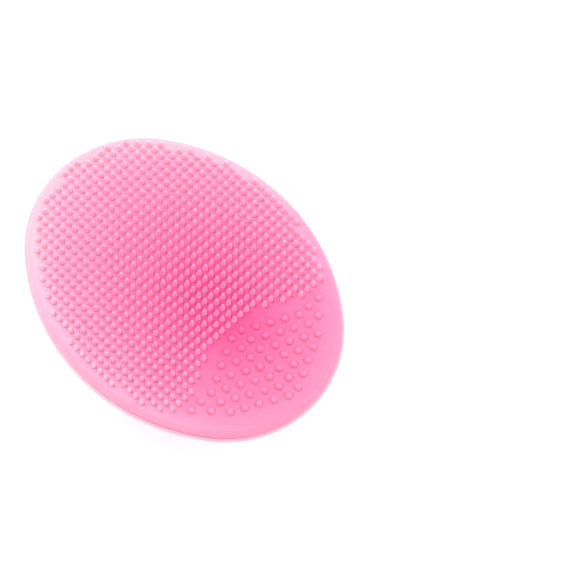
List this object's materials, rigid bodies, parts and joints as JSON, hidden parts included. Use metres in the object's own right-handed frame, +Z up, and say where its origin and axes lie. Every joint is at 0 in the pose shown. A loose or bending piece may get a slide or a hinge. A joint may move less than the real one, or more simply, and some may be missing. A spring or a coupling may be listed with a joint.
{
  "type": "facial cleansing brush",
  "caption": "Oval soft silicone face cleansing pad with fine bristles and a patch of round massage nubs, on a bending neck whose suction cup is both finger grip and stand.",
  "frame": {"origin": "centre of the suction cup's lip, on the surface that it rests on", "axes": "+Z up from that surface through the neck to the bristles, +X along the pad's long axis towards the massage nubs, +Y across the pad"},
  "size_m": [0.065, 0.052, 0.0194],
  "materials": {
    "pad_silicone": "satin, slightly translucent",
    "bristle_silicone": "satin, slightly translucent",
    "grip_silicone": "satin, slightly translucent"
  },
  "bodies": {
    "lip": {"cup_lip": "grip_silicone"},
    "cup": {"cup_hub": "grip_silicone", "neck_foot": "grip_silicone"},
    "neck": {"neck_stem": "grip_silicone"},
    "pad": {"neck_flare": "grip_silicone", "pad_disc": "pad_silicone", "rim_lip": "pad_silicone", "bristle_panel": "bristle_silicone", "nub_panel": "bristle_silicone"}
  },
  "joints": [
    {"name": "cup_press", "type": "slide", "parent": "lip", "child": "cup", "axis": [0, 0, -1], "range_m": [0, 0.0008], "stiffness_N_per_m": 1500},
    {"name": "neck_roll", "type": "hinge", "parent": "cup", "child": "neck", "pos_m": [0, 0, 0.0075], "axis": [1, 0, 0], "range_deg": [-18, 18], "stiffness_Nm_per_rad": 0.04},
    {"name": "neck_pitch", "type": "hinge", "parent": "neck", "child": "pad", "pos_m": [0, 0, 0.0114], "axis": [0, 1, 0], "range_deg": [-18, 18], "stiffness_Nm_per_rad": 0.04}
  ]
}
